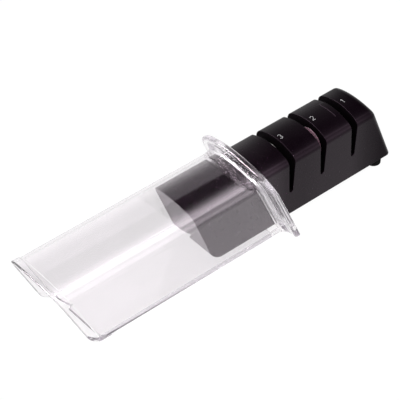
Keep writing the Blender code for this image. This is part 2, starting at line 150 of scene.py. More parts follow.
def shade(ob, mat, angle=32.0):
    me = ob.data
    me.materials.clear()
    me.materials.append(mat)
    for p in me.polygons:
        p.material_index = 0
    me.shade_smooth()
    me.set_sharp_from_angle(angle=math.radians(angle))
    md = ob.modifiers.new("even", 'WEIGHTED_NORMAL')
    md.mode, md.weight, md.keep_sharp = 'FACE_AREA', 50, True
    bpy.context.view_layer.update()
    dg = bpy.context.evaluated_depsgraph_get()
    ob.data = bpy.data.meshes.new_from_object(ob.evaluated_get(dg))
    ob.modifiers.clear()


def box(name, lo, hi):
    (x0, y0, z0), (x1, y1, z1) = lo, hi
    v = [(x0, y0, z0), (x1, y0, z0), (x1, y1, z0), (x0, y1, z0),
         (x0, y0, z1), (x1, y0, z1), (x1, y1, z1), (x0, y1, z1)]
    f = [(0, 3, 2, 1), (4, 5, 6, 7), (0, 1, 5, 4), (1, 2, 6, 5), (2, 3, 7, 6), (3, 0, 4, 7)]
    return add(name, v, f)


def prism_y(name, xz, y0, y1):
    n = len(xz)
    v = [(x, y0, z) for x, z in xz] + [(x, y1, z) for x, z in xz]
    f = [tuple(range(n)), tuple(range(2 * n - 1, n - 1, -1))]
    f += [(i, (i + 1) % n, n + (i + 1) % n, n + i) for i in range(n)]
    return add(name, v, f)


def turned(name, profile, axis, centre, segments, phase=0.0):
    """closed (along, radius) outline turned about an axis through centre"""
    n = len(profile)
    v, f = [], []
    for k in range(segments):
        a = 2 * math.pi * k / segments + phase
        c, s = math.cos(a), math.sin(a)
        for t, r in profile:
            if axis == 'X':
                v.append((centre[0] + t, centre[1] + r * c, centre[2] + r * s))
            else:
                v.append((centre[0] + r * c, centre[1] + r * s, centre[2] + t))
    for k in range(segments):
        k2 = (k + 1) % segments
        for i in range(n):
            j = (i + 1) % n
            ri, rj = profile[i][1], profile[j][1]
            if ri < 1e-9 and rj < 1e-9:
                continue
            if ri < 1e-9:
                f.append((i, k * n + j, k2 * n + j))
            elif rj < 1e-9:
                f.append((k * n + i, j, k2 * n + i))
            else:
                f.append((k * n + i, k * n + j, k2 * n + j, k2 * n + i))
    return add(name, v, f)


def fillet(profile, radii, n=5):
    """round the corners of an open (along, radius) outline"""
    out = []
    for i, p in enumerate(profile):
        r = radii[i]
        if r <= 0 or i in (0, len(profile) - 1):
            out.append(p)
            continue
        P = Vector(p)
        a = (Vector(profile[i - 1]) - P).normalized()
        b = (Vector(profile[i + 1]) - P).normalized()
        half = a.angle(b) / 2
        cut = r / math.tan(half)
        centre = P + (a + b).normalized() * (r / math.sin(half))
        s, e = P + a * cut - centre, P + b * cut - centre
        turn = s.angle_signed(e)
        for k in range(n + 1):
            q = s.copy()
            q.rotate(Matrix.Rotation(-turn * k / n, 2))
            out.append(tuple(centre + q))
    return out


# -------------------------------------------------- arched sections and lofts
def half_outline(w, z0, top, arch_r, crease_r, corner_r, side_z, n_corner, n_crease, n_arch):
    """half of an arched section from the floor to the crown: (y, z, ny, nz)"""
    pts = []
    for k in range(n_corner + 1):
        a = math.pi / 2 * k / n_corner
        pts.append((w - corner_r + corner_r * math.sin(a),
                    z0 + corner_r - corner_r * math.cos(a), math.sin(a), -math.cos(a)))
    cz = top - arch_r
    cy = w - crease_r
    fz = cz + math.sqrt((arch_r - crease_r) ** 2 - cy ** 2)
    lo = z0 + corner_r
    for u in side_z:
        pts.append((w, lo + (fz - lo) * u, 1.0, 0.0))
    turn = math.atan2(cy, fz - cz)
    for k in range(n_crease + 1):
        a = math.pi / 2 + (turn - math.pi / 2) * k / n_crease
        pts.append((cy + crease_r * math.sin(a), fz + crease_r * math.cos(a),
                    math.sin(a), math.cos(a)))
    for k in range(1, n_arch + 1):
        a = turn * (1 - k / n_arch)
        pts.append((arch_r * math.sin(a), cz + arch_r * math.cos(a), math.sin(a), math.cos(a)))
    return pts


def grown(outline, d, z_min=None):
    out = []
    for y, z, ny, nz in outline:
        y2, z2 = max(0.0, y + d * ny), z + d * nz
        if z_min is not None:
            z2 = max(z2, z_min)
        out.append((y2, z2, ny, nz))
    return out


def slanted_end(x0, z0, slope, radius):
    """x of a slanted end whose lower corner is rounded, as a function of z"""
    k = math.sqrt(1 + slope * slope)
    xc = x0 - slope * radius + radius * k
    zt = z0 + radius - radius * slope / k

    def x_of(z):
        if radius > 0 and z < zt:
            dz = min(radius, max(-radius, z - z0 - radius))
            return xc - math.sqrt(max(0.0, radius * radius - dz * dz))
        return x0 - slope * (z - z0)
    return x_of


def ring(outline, x_of):
    right = [(x_of(z), y, z) for y, z, _, _ in outline]
    left = [(x_of(z), -y, z) for y, z, _, _ in outline[:-1]]
    return right + left[::-1]


def loft(name, rings, endless=False):
    """rings with matching point counts; the ends are closed by level strips, or joined"""
    m = len(rings[0])
    n = (m + 1) // 2
    v = [p for r in rings for p in r]
    f = []
    for k in range(len(rings) - 1):
        a, b = k * m, (k + 1) * m
        for i in range(m):
            j = (i + 1) % m
            f.append((a + i, a + j, b + j, b + i))
    if endless:
        a = (len(rings) - 1) * m
        f += [(a + i, a + (i + 1) % m, (i + 1) % m, i) for i in range(m)]
        return add(name, v, f)
    for base in (0, (len(rings) - 1) * m):
        for i in range(n - 1):
            r0, r1 = base + i, base + i + 1
            l0 = base + (m - 1 - i)
            l1 = base + (m - 2 - i)
            f.append((r0, r1, l0) if i == n - 2 else (r0, r1, l1, l0))
    return add(name, v, f)


def edge_steps(r, n=6):
    """(inset, set-back) pairs that round an end edge, from the face outward"""
    return [(r * (1 - math.sin(math.pi / 2 * k / n)), r * (1 - math.cos(math.pi / 2 * k / n)))
            for k in range(n + 1)]


# ---------------------------------------------------------------- materials
class Mat:
    """a Principled material and short ways to wire detail into it"""

    def __init__(self, name, colour=None, **sockets):
        self.m = bpy.data.materials.new(name)
        self.m.use_nodes = True
        self.nt = self.m.node_tree
        self.p = self.nt.nodes["Principled BSDF"]
        self.out = self.nt.nodes["Material Output"]
        self.tc = self.nt.nodes.new("ShaderNodeTexCoord")
        if colour:
            self.p.inputs["Base Color"].default_value = (*colour, 1.0)
        for k, v in sockets.items():
            self.p.inputs[k.replace("_", " ")].default_value = v

    def node(self, kind, **inputs):
        n = self.nt.nodes.new(kind)
        for k, v in inputs.items():
            n.inputs[k.replace("_", " ")].default_value = v
        return n

    def link(self, a, b):
        self.nt.links.new(a, b)

    def noise(self, scale, detail=4.0, rough=0.55, stretch=None):
        n = self.node("ShaderNodeTexNoise", Scale=scale, Detail=detail, Roughness=rough)
        src = self.tc.outputs["Object"]
        if stretch:
            mp = self.node("ShaderNodeMapping", Scale=stretch)
            self.link(src, mp.inputs["Vector"])
            src = mp.outputs["Vector"]
        self.link(src, n.inputs["Vector"])
        return n.outputs["Fac"]

    def ramp(self, fac, stops):
        r = self.nt.nodes.new("ShaderNodeValToRGB")
        el = r.color_ramp.elements
        while len(el) < len(stops):
            el.new(0.5)
        for e, (pos, c) in zip(el, stops):
            e.position = pos
            e.color = (*c, 1.0) if hasattr(c, "__len__") else (c, c, c, 1.0)
        self.link(fac, r.inputs["Fac"])
        return r.outputs["Color"]

    def spread(self, fac, lo, hi, a=0.3, b=0.7):
        n = self.nt.nodes.new("ShaderNodeMapRange")
        for k, v in (("From Min", a), ("From Max", b), ("To Min", lo), ("To Max", hi)):
            n.inputs[k].default_value = v
        self.link(fac, n.inputs["Value"])
        return n.outputs["Result"]

    def bump(self, height, strength, distance, under=None):
        b = self.node("ShaderNodeBump", Strength=strength, Distance=distance)
        self.link(height, b.inputs["Height"])
        if under is not None:
            self.link(under, b.inputs["Normal"])
        return b.outputs["Normal"]

    def to(self, socket, value):
        self.link(value, self.p.inputs[socket])


def black_plastic(name="black_plastic", level=0.14, rough=(0.22, 0.29), base=1.0, along=None):
    """satin black moulding with a faint violet cast and a fine spark-eroded grain"""
    m = Mat(name, Specular_IOR_Level=level)
    if along:                                   # painted light: the gloss is raised under the case as a painted highlight and lowered toward the head as painted shade
        part = m.nt.nodes.new("ShaderNodeSeparateXYZ")
        m.link(m.tc.outputs["Object"], part.inputs["Vector"])
        x0, x1 = along[0][0], along[-1][0]
        place = m.spread(part.outputs["X"], 0.0, 1.0, (x0 + X_MID) * MM, (x1 + X_MID) * MM)
        # painted shade: less gloss over the crown, above 36.5 mm, so the top reads darker
        painted_crown_shade = m.spread(part.outputs["Z"], 1.0, 0.42, 36.5 * MM, 39.0 * MM)
        gloss = m.nt.nodes.new("ShaderNodeMath")
        gloss.operation = 'MULTIPLY'
        m.link(m.ramp(place, [((x - x0) / (x1 - x0), q) for x, q in along]), gloss.inputs[0])
        m.link(painted_crown_shade, gloss.inputs[1])
        m.to("Specular IOR Level", gloss.outputs["Value"])
    m.p.inputs["Specular Tint"].default_value = (1.0, 0.68, 0.92, 1.0)
    m.to("Base Color", m.ramp(m.noise(900.0, 3.0), [(0.3, tuple(base * c for c in (0.0017, 0.0005, 0.0015))),
                                                   (0.7, tuple(base * c for c in (0.0026, 0.0008, 0.0023)))]))
    m.to("Roughness", m.spread(m.noise(260.0, 5.0, 0.6), *rough))
    m.to("Normal", m.bump(m.noise(5200.0, 2.0), 0.08, 0.00003))
    return m.m


def inner_plastic():
    """matt black moulding of the parts inside"""
    m = Mat("black_inner_plastic", Specular_IOR_Level=0.4)
    m.to("Base Color", m.ramp(m.noise(700.0, 3.0), [(0.3, (0.007, 0.007, 0.008)), (0.7, (0.012, 0.012, 0.013))]))
    m.to("Roughness", m.spread(m.noise(300.0, 4.0), 0.42, 0.56))
    m.to("Normal", m.bump(m.noise(3600.0, 3.0), 0.2, 0.00004))
    return m.m


def clear_plastic():
    """clear injection-moulded styrene: faint flow waves, hairline handling marks"""
    m = Mat("clear_plastic", (0.905, 0.888, 0.901), Transmission_Weight=1.0, IOR=1.56)
    m.p.inputs["Specular Tint"].default_value = (1.0, 0.90, 0.98, 1.0)
    m.to("Roughness", m.spread(m.noise(420.0, 6.0, 0.7, (0.3, 1.0, 1.0)), 0.004, 0.018, 0.35, 0.75))
    wave = m.bump(m.noise(40.0, 2.0, 0.4, (0.35, 1.0, 1.0)), 0.012, 0.0003)
    m.to("Normal", m.bump(m.noise(2400.0, 2.0, 0.5, (0.04, 1.0, 1.0)), 0.01, 0.00003, wave))
    glass = m.p.outputs["BSDF"]
    see = m.node("ShaderNodeBsdfTransparent")
    see.inputs["Color"].default_value = (0.95, 0.935, 0.95, 1.0)
    lp = m.node("ShaderNodeLightPath")
    mix = m.nt.nodes.new("ShaderNodeMixShader")
    m.link(lp.outputs["Is Shadow Ray"], mix.inputs["Fac"])
    m.link(glass, mix.inputs[1])
    m.link(see.outputs["BSDF"], mix.inputs[2])
    m.link(mix.outputs["Shader"], m.out.inputs["Surface"])
    vol = m.node("ShaderNodeVolumeAbsorption")
    vol.inputs["Color"].default_value = (0.70, 0.66, 0.715, 1.0)
    vol.inputs["Density"].default_value = 20.0
    m.link(vol.outputs["Volume"], m.out.inputs["Volume"])
    return m.m


def rubber():
    m = Mat("rubber", Specular_IOR_Level=0.04)
    m.to("Base Color", m.ramp(m.noise(800.0, 4.0), [(0.3, (0.0018, 0.0017, 0.0018)), (0.75, (0.0042, 0.0040, 0.0042))]))
    m.to("Roughness", m.spread(m.noise(1500.0, 3.0), 0.68, 0.86))
    m.to("Normal", m.bump(m.noise(2600.0, 4.0), 0.35, 0.00005))
    return m.m


def steel(name, stretch):
    """bright steel with fine turning or drawing marks"""
    m = Mat(name, (0.60, 0.60, 0.62), Metallic=1.0)
    marks = m.noise(2200.0, 3.0, 0.5, stretch)
    m.to("Base Color", m.ramp(marks, [(0.3, (0.48, 0.48, 0.50)), (0.7, (0.66, 0.66, 0.68))]))
    m.to("Roughness", m.spread(marks, 0.2, 0.36))
    m.to("Normal", m.bump(marks, 0.12, 0.00003))
    return m.m


def grit(name, stops, rough, metal, scale, height):
    """bonded abrasive: grains of two sizes in a matt bond"""
    m = Mat(name, Metallic=metal)
    v = m.node("ShaderNodeTexVoronoi", Scale=scale)
    m.link(m.tc.outputs["Object"], v.inputs["Vector"])
    m.to("Base Color", m.ramp(m.noise(scale * 0.8, 4.0, 0.65), stops))
    m.to("Roughness", m.spread(m.noise(scale, 3.0), *rough))
    fine = m.bump(m.noise(scale * 2.2, 3.0), 0.4, height * 0.5)
    m.to("Normal", m.bump(v.outputs["Distance"], 0.6, height, fine))
    return m.m


def ink():
    """pad print, slightly uneven"""
    m = Mat("numeral_ink", Specular_IOR_Level=0.3)
    m.to("Base Color", m.ramp(m.noise(3500.0, 3.0), [(0.3, (0.40, 0.39, 0.40)), (0.6, (0.52, 0.51, 0.52))]))
    m.to("Roughness", m.spread(m.noise(2500.0, 2.0), 0.5, 0.65))
    m.to("Normal", m.bump(m.noise(4000.0, 2.0), 0.2, 0.00002))
    return m.m


# painted light on the body: the high gloss under the case is a painted highlight, the falling gloss toward the head is
# painted shade
BLACK = black_plastic(along=[(-40.0, 0.27), (-33.0, 0.25), (-24.0, 0.13), (-12.0, 0.12), (0.0, 0.145), (20.0, 0.145),
                             (30.0, 0.07), (40.0, 0.03), (51.0, 0.02)])
INNER, CLEAR, RUBBER = inner_plastic(), clear_plastic(), rubber()
BLACK_POLISHED = black_plastic("black_plastic_polished", 0.95, (0.04, 0.08))
# near-black matt copy of the black plastic: painted shade for the slot walls, the inside and the bottom edge
BLACK_MATT_PAINTED_SHADE = black_plastic("black_plastic_matt_painted_shade", 0.02, (0.5, 0.7), 0.15)
STEEL_SCREW = steel("steel_turned", (1.0, 1.0, 0.08))
STEEL_AXLE = steel("steel_drawn", (0.05, 1.0, 1.0))
WHEELS = {
    1: grit("diamond_grit", [(0.3, (0.11, 0.105, 0.10)), (0.55, (0.24, 0.23, 0.22)), (0.75, (0.5, 0.49, 0.47))],
            (0.4, 0.65), 0.55, 5200.0, 0.00010),
    2: grit("ceramic", [(0.3, (0.29, 0.115, 0.19)), (0.7, (0.41, 0.20, 0.28))], (0.5, 0.66), 0.0, 6800.0, 0.00004),
    3: grit("fine_ceramic", [(0.3, (0.72, 0.69, 0.62)), (0.7, (0.86, 0.84, 0.79))], (0.42, 0.56), 0.0, 8200.0, 0.00003),
}

# --------------------------------------------------------------- black body
N_CORNER, N_CREASE, N_ARCH = 6, 14, 22
BODY_SIDE = [0.01, 0.022, 0.036, 0.052, 0.07, 0.09, 0.112, 0.136, 0.165, 0.3, 0.5, 0.7, 0.88, 0.98, 0.996]


def body_outline(inset=0.0, z0=BODY_Z0, corner=BODY_CORNER_R):
    return half_outline(BODY_HALF_W - inset, z0, BODY_TOP - inset, BODY_ARCH_R - inset, BODY_CREASE_R - inset,
                        corner, BODY_SIDE, N_CORNER, N_CREASE, N_ARCH)


def crown(y):
    return BODY_TOP - BODY_ARCH_R + math.sqrt(BODY_ARCH_R ** 2 - y * y)


def make_shell():
    section = body_outline()
    head = slanted_end(BODY_HEAD_X, BODY_Z0, BODY_HEAD_SLOPE, 0.0)
    tail = slanted_end(BODY_TAIL_X, BODY_Z0, BODY_TAIL_SLOPE, BODY_TAIL_R)
    steps = edge_steps(BODY_EDGE_R, 5)
    rings = [ring(grown(section, -i), lambda z, b=b: tail(z) + b) for i, b in steps]
    rings.append(ring(section, lambda z: tail(z) + BODY_EDGE_R + 0.06))
    rings.append(ring(section, lambda z: head(z) - BODY_HEAD_EDGE_R - 0.12))
    rings += [ring(body_outline(i), lambda z, b=b: head(z) - b) for i, b in reversed(edge_steps(BODY_HEAD_EDGE_R, 10))]
    shell = loft("main_shell_fine", rings)

    inner_z0 = BODY_Z0 + 2.4
    inner = half_outline(BODY_HALF_W - BODY_WALL, inner_z0, BODY_TOP - BODY_WALL, BODY_ARCH_R - BODY_WALL,
                         BODY_CREASE_R - BODY_WALL, 0.4, [0.03, 0.06, 0.1, 0.14, 0.2, 0.5, 0.8], 3, 5, 8)
    inner_tail = slanted_end(BODY_TAIL_X + 2.5, inner_z0, BODY_TAIL_SLOPE, BODY_TAIL_R - 2.4)
    inner_head = slanted_end(BODY_HEAD_X - 2.4, BODY_Z0, BODY_HEAD_SLOPE, 0.0)
    boolean(shell, loft("hollow", [ring(inner, inner_tail), ring(inner, inner_head)]), 'DIFFERENCE')
    half = BODY_HALF_W - BODY_WALL
    boolean(shell, box("recess", (PLATE_X0 - PLATE_GAP, -half, BODY_Z0 - 3.0),
                       (PLATE_X1 + PLATE_GAP, half, inner_z0 + 0.6)), 'DIFFERENCE')

    guide_section = half_outline(BODY_HALF_W - 1.0, GUIDE_Z0, BODY_TOP - 1.0, BODY_ARCH_R - 1.0,
                                 BODY_CREASE_R - 1.0, 0.3, [0.2, 0.5, 0.8], 2, 4, 6)
    for n, sx in SLOTS.items():
        boolean(shell, loft("guide", [ring(guide_section, lambda z, x=sx - GUIDE_HALF: x),
                                      ring(guide_section, lambda z, x=sx + GUIDE_HALF: x)]), 'UNION')
        for s in (-1, 1):
            boolean(shell, turned("pocket", [(0.0, 0.0), (0.0, POCKET_R), (s * POCKET_X, POCKET_R),
                                             (s * POCKET_X, 0.0)], 'X', (sx, s * WHEEL_Y[n], AXLE_Z[n]), 72),
                    'DIFFERENCE')
    for x, y in SCREW_XY:
        top = BODY_TOP - 3.4 if x < 0 else BODY_Z0 + (BODY_HEAD_X - 1.2 - x - BOSS_R) / BODY_HEAD_SLOPE
        low = BODY_Z0 + PLATE_T + 0.25
        boolean(shell, turned("post", [(low, 0.0), (low, BOSS_R), (top, BOSS_R), (top, 0.0)],
                              'Z', (x, y, 0.0), 24), 'UNION')
        boolean(shell, turned("pilot", [(BODY_Z0 - 1.0, 0.0), (BODY_Z0 - 1.0, SCREW_SHANK_R + 0.2),
                                        (BODY_Z0 + SCREW_LEN + 1.0, SCREW_SHANK_R + 0.2),
                                        (BODY_Z0 + SCREW_LEN + 1.0, 0.0)], 'Z', (x, y, 0.0), 20), 'DIFFERENCE')

    # low pad in front of slot 1 that follows the crown, with a sloped edge
    v, f, n_y = [], [], 28
    for k in range(n_y + 1):
        y = -PAD_HALF + 2 * PAD_HALF * k / n_y
        z, fade = crown(y), min(1.0, (PAD_HALF - abs(y)) / 0.5)
        h = PAD_H * fade - 0.03 * (1 - fade)
        v += [(PAD_X - 0.05, y, z - 1.0), (PAD_X - 0.05, y, z - 0.02), (PAD_X + 0.10, y, z + h),
              (PAD_X + 3.6, y, z + h), (PAD_X + 3.6, y, z - 1.0)]
    for k in range(n_y):
        a, b = 5 * k, 5 * k + 5
        f += [(a + i, a + (i + 1) % 5, b + (i + 1) % 5, b + i) for i in range(5)]
    f += [tuple(range(5)), tuple(range(5 * n_y + 4, 5 * n_y - 1, -1))]
    boolean(shell, add("pad", v, f), 'UNION')

    rise = (SLOT_HALF_TOP - SLOT_HALF_BOTTOM) / (BODY_TOP - SLOT_Z0)
    for n, sx in SLOTS.items():
        over = 4.0
        h0, h1 = SLOT_HALF_BOTTOM, SLOT_HALF_TOP + rise * 4.0
        xz = []
        for k in range(13):
            a = math.pi + math.pi * k / 12
            xz.append((sx + h0 * math.cos(a), SLOT_Z0 + h0 + h0 * math.sin(a)))
        xz += [(sx + h1, BODY_TOP + over), (sx - h1, BODY_TOP + over)]
        boolean(shell, prism_y("slot", xz, -BODY_HALF_W - 3.0, BODY_HALF_W + 3.0), 'DIFFERENCE')
    clean(shell)

    def outer_slot_edge(mid, e):
        near = min(abs(mid.x - sx) for sx in SLOTS.values())
        if near > 3.2 or mid.z < SLOT_Z0 - 0.5:
            return False
        y = abs(mid.y)
        if mid.z > 26.0 and y < BODY_HALF_W - BODY_CREASE_R + 0.2:
            return mid.z > crown(y) - 0.9
        return y > BODY_HALF_W - 0.4 or (mid.z > 34.0 and y > BODY_HALF_W - BODY_CREASE_R and
                                         math.hypot(y - 9.9, mid.z - 34.84) > 3.6)

    round_edges(shell, 0.16, 3, 40.0, outer_slot_edge)
    shade(shell, BLACK)
    shell.data.materials.append(BLACK_MATT_PAINTED_SHADE)
    shell.data.materials.append(BLACK_POLISHED)
    for p in shell.data.polygons:
        x, y, z = (c / MM for c in p.center)
        x, y = x - X_MID, abs(y)
        inside = y < BODY_HALF_W - 0.3 and z > BODY_Z0 + 0.3 and tail(z) + 0.4 < x < head(z) - 0.5
        if inside:
            if y > 10.0 and z > 34.84:
                inside = math.hypot(y - 9.9, z - 34.84) < BODY_CREASE_R - 0.3
            else:
                inside = z < crown(min(y, 26.0)) - 0.3
        # painted shade: inside faces and slot walls take the near-black matt copy
        if inside and x < head(z) - BODY_HEAD_EDGE_R - 0.5:
            p.material_index = 1
        elif p.normal.x < -0.85 and x < tail(z) + 0.3:
            p.material_index = 2
        # painted shade: a band along the bottom edge, where the contact shadow falls, takes the near-black matt copy
        elif z < BODY_Z0 + 0.6:
            p.material_index = 1
    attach(shell, "body")
    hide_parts("main_shell")
    return shell


# ------------------------------------------------------------ plate, screws
def make_plate():
    half = BODY_HALF_W - BODY_WALL - PLATE_GAP
    plate = box("base_plate_fine", (PLATE_X0, -half, BODY_Z0), (PLATE_X1, half, BODY_Z0 + PLATE_T))
    for x, y in SCREW_XY:
        seat = SCREW_HEAD_H + 0.25
        boolean(plate, turned("hole", [(BODY_Z0 - 1.0, 0.0), (BODY_Z0 - 1.0, SCREW_HEAD_R + 0.3),
                                       (BODY_Z0 + seat, SCREW_HEAD_R + 0.3), (BODY_Z0 + seat, SCREW_SHANK_R + 0.2),
                                       (BODY_Z0 + PLATE_T + 1.0, SCREW_SHANK_R + 0.2),
                                       (BODY_Z0 + PLATE_T + 1.0, 0.0)], 'Z', (x, y, 0.0), 48), 'DIFFERENCE')
    clean(plate)
    round_edges(plate, 0.25, 3, 50.0, lambda mid, e: mid.z < BODY_Z0 + 0.1 or abs(mid.y) > half - 0.1)
    shade(plate, BLACK)
    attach(plate, "body")
    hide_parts("base_plate")

    for i, (x, y) in enumerate(SCREW_XY, 1):
        z0 = BODY_Z0 + 0.1
        prof = [(z0, 0.0), (z0, 1.35)]
        for k in range(1, 7):
            a = math.pi / 2 * k / 6
            prof.append((z0 + 0.55 * (1 - math.cos(a)), 1.35 + (SCREW_HEAD_R - 1.35) * math.sin(a)))
        prof += [(z0 + SCREW_HEAD_H - 0.08, SCREW_HEAD_R), (z0 + SCREW_HEAD_H, SCREW_HEAD_R - 0.08),
                 (z0 + SCREW_HEAD_H, SCREW_SHANK_R)]
        z = z0 + SCREW_HEAD_H + 0.6
        while z < z0 + SCREW_LEN - 1.4:        # rolled thread, as ridges
            prof += [(z, SCREW_SHANK_R - 0.22), (z + 0.28, SCREW_SHANK_R), (z + 0.36, SCREW_SHANK_R),
                     (z + 0.62, SCREW_SHANK_R - 0.22)]
            z += 0.8
        prof += [(z0 + SCREW_LEN - 1.2, SCREW_SHANK_R - 0.22), (z0 + SCREW_LEN, 0.0)]
        screw = turned("base_screw_fine_%d" % i, prof, 'Z', (x, y, 0.0), 40)
        a, b = 1.35, 0.3
        plus = [(a, -b), (a, b), (b, b), (b, a), (-b, a), (-b, b), (-a, b), (-a, -b),
                (-b, -b), (-b, -a), (b, -a), (b, -b)]
        v = [(x + p, y + q, z0 - 0.5) for p, q in plus] + [(x + p * 0.7, y + q * 0.7, z0 + 0.7) for p, q in plus]
        f = [tuple(range(12)), tuple(range(23, 11, -1))]
        f += [(k, (k + 1) % 12, 12 + (k + 1) % 12, 12 + k) for k in range(12)]
        boolean(screw, add("cross", v, f), 'DIFFERENCE')
        clean(screw)
        shade(screw, STEEL_SCREW, 28.0)
        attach(screw, "body")
        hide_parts("base_screw_%d" % i)


def make_feet():
    top = BODY_Z0 - 0.1
    for i, sy in enumerate((1, -1), 1):
        prof = fillet([(0.12, 0.0), (0.12, 1.4), (0.0, 2.3), (0.0, FOOT_R), (top - 0.5, FOOT_R),
                       (top - 0.5, FOOT_R - 0.25), (top, FOOT_R - 0.25), (top, 0.0)],
                      [0, 0.4, 0.4, 0.3, 0.12, 0.1, 0.1, 0], 5)
        foot = turned("foot_fine_%d" % i, prof, 'Z', (FOOT_X, sy * FOOT_Y, 0.0), 64)
        clean(foot)
        shade(foot, RUBBER)
        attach(foot, "body")
        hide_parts("foot_%d" % i)


# ------------------------------------------------------------------- stages
def make_stages():
    for n, sx in SLOTS.items():
        x0, x1, w = sx - CARRIER_HALF_L, sx + CARRIER_HALF_L, CARRIER_HALF_W
        zf = CARRIER_Z0 + CARRIER_FLOOR
        u = [(x0, CARRIER_Z0), (x1, CARRIER_Z0), (x1, CARRIER_TOP), (x1 - CARRIER_WALL, CARRIER_TOP),
             (x1 - CARRIER_WALL, zf), (x0 + CARRIER_WALL, zf), (x0 + CARRIER_WALL, CARRIER_TOP), (x0, CARRIER_TOP)]
        carrier = prism_y("carrier_fine_%d" % n, u, -w, w)
        for sy in (1, -1):
            yz = [(sy * w * 1.2, 10.0), (sy * 6.2, CARRIER_TOP + 1.0), (sy * w * 1.2, CARRIER_TOP + 1.0)]
            v = [(x0 - 1, y, z) for y, z in yz] + [(x1 + 1, y, z) for y, z in yz]
            boolean(carrier, add("slope", v, [(0, 1, 2), (5, 4, 3), (0, 1, 4, 3), (1, 2, 5, 4), (2, 0, 3, 5)]),
                    'DIFFERENCE')
        for s in (-1, 1):
            boolean(carrier, turned("bore", [(s * 3.0, 0.0), (s * 3.0, AXLE_R + 0.1), (s * 8.0, AXLE_R + 0.1),
                                             (s * 8.0, 0.0)], 'X', (sx, s * WHEEL_Y[n], AXLE_Z[n]), 40), 'DIFFERENCE')
        clean(carrier)
        round_edges(carrier, 0.18, 2, 30.0)
        shade(carrier, INNER)
        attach(carrier, "body")
        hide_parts("carrier_%d" % n)

        for tag, s in (("a", -1), ("b", 1)):
            centre = (sx, s * WHEEL_Y[n], AXLE_Z[n])
            prof = fillet([(AXLE_IN, 0.0), (AXLE_IN, AXLE_R), (AXLE_OUT, AXLE_R), (AXLE_OUT, 0.0)],
                          [0, 0.25, 0.25, 0], 4)
            axle = turned("axle_fine_%d%s" % (n, tag), [(s * t, r) for t, r in prof], 'X', centre, 48)
            shade(axle, STEEL_AXLE)
            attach(axle, "body")
            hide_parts("axle_%d%s" % (n, tag))

            open_prof = [(WHEEL_IN, WHEEL_BORE_R + 0.6), (WHEEL_IN, WHEEL_NECK_R), (WHEEL_RIM, WHEEL_R),
                         (WHEEL_OUT, WHEEL_R), (WHEEL_OUT, 3.4), (WHEEL_OUT - 0.35, 3.1),
                         (WHEEL_OUT - 0.35, 2.3)]
            prof = fillet(open_prof, [0, 0.25, 0.15, 0.4, 0.12, 0.1, 0], 4)
            prof = [(WHEEL_IN, WHEEL_BORE_R + 0.1), (WHEEL_IN, WHEEL_BORE_R + 0.3)] + prof
            prof += [(WHEEL_OUT - 0.35, WHEEL_BORE_R + 0.1), (WHEEL_OUT - 0.45, WHEEL_BORE_R),
                     (WHEEL_IN + 0.1, WHEEL_BORE_R)]
            wheel = turned("wheel_fine_%d%s" % (n, tag), [(s * t, r) for t, r in prof], 'X', centre, 96)
            shade(wheel, WHEELS[n])
            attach(wheel, "rotor_%d%s" % (n, tag))
            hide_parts("wheel_%d%s" % (n, tag))


# ----------------------------------------------------------------- numerals
def arc(cx, cy, rx, ry, a0, a1, n):
    return [(cx + rx * math.cos(math.radians(a0 + (a1 - a0) * k / n)),
             cy + ry * math.sin(math.radians(a0 + (a1 - a0) * k / n))) for k in range(n + 1)]


DIGITS = {
    1: [(-0.2, 0.26), (-0.06, 0.36), (0.04, 0.5), (0.04, 0.2), (0.04, -0.2), (0.04, -0.5)],
    2: arc(0.0, 0.22, 0.29, 0.28, 165, -25, 12) + [(0.05, -0.16), (-0.14, -0.34), (-0.3, -0.5), (0.0, -0.5), (0.32, -0.5)],
    3: arc(-0.02, 0.25, 0.27, 0.25, 150, -82, 12) + arc(-0.02, -0.245, 0.31, 0.255, 84, -152, 14),
}


def make_numerals():
    height, width, ink_z = 2.85, 0.23, 0.03
    mat = ink()
    for n, x in ((1, 25.6), (2, 5.2), (3, -16.0)):
        line = [Vector((px * height, py * height)) for px, py in DIGITS[n]]
        pts = [line[0]]
        for p in line[1:]:                      # even, close spacing so the print follows the crown
            d = p - pts[-1]
            steps = max(1, int(d.length / 0.22))
            base = pts[-1].copy()
            pts += [base + d * (k / steps) for k in range(1, steps + 1)]
        lefts, rights = [], []
        for i, p in enumerate(pts):
            a = pts[max(0, i - 1)]
            b = pts[min(len(pts) - 1, i + 1)]
            t = (b - a).normalized()
            side = Vector((-t.y, t.x))
            k = 1.0
            if 0 < i < len(pts) - 1:
                bend = (pts[i] - a).normalized().dot((b - pts[i]).normalized())
                k = min(1.5, 1 / max(0.5, math.sqrt(max(0.0, (1 + bend) / 2))))
            lefts.append(p + side * width / 2 * k)
            rights.append(p - side * width / 2 * k)
        v, f = [], []
        for h in (0.004, ink_z):
            for q in lefts + rights:
                v.append((x + q.x, q.y, crown(q.y) + h))
        m = len(pts)
        for i in range(m - 1):
            f.append((2 * m + i, 2 * m + i + 1, 3 * m + i + 1, 3 * m + i))
            f.append((i, m + i, m + i + 1, i + 1))
            f.append((i, i + 1, 2 * m + i + 1, 2 * m + i))
            f.append((m + i + 1, m + i, 3 * m + i, 3 * m + i + 1))
        f.append((0, 2 * m, 3 * m, m))
        f.append((m - 1, 2 * m - 1, 4 * m - 1, 3 * m - 1))
        digit = add("numeral_%d" % n, v, f)
        shade(digit, mat, 40.0)
        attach(digit, "body")


# --------------------------------------------------------------- clear case
C_CORNER, C_CREASE, C_ARCH = 6, 18, 26


